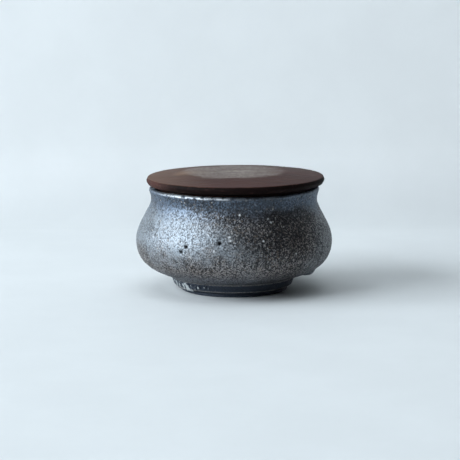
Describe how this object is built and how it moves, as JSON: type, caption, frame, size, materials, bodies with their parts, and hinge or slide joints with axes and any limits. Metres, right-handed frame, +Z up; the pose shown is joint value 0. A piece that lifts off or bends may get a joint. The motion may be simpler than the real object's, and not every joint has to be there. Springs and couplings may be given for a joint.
{
  "type": "lidded pot",
  "caption": "Squat round stoneware pot with a trimmed foot ring and a flat turned wooden lid that lifts off.",
  "frame": {"origin": "centre of the foot ring, on the surface that the pot stands on", "axes": "+Z up along the turning axis, which the lid lifts along; X and Y level"},
  "size_m": [0.1106, 0.1106, 0.0667],
  "materials": {
    "glazed_stoneware": "rough dark metallic glaze, pewter grey with a brown cast, sandy speckle and pits, satin sheen",
    "turned_wood": "dark reddish brown turned hardwood, fine grain, satin, edges worn smooth"
  },
  "bodies": {
    "pot": {"pot_body": "glazed_stoneware"},
    "lid": {"lid": "turned_wood"}
  },
  "joints": [
    {"name": "lid_lift", "type": "slide", "parent": "pot", "child": "lid", "axis": [0, 0, 1], "range_m": [0, 0.1]}
  ]
}
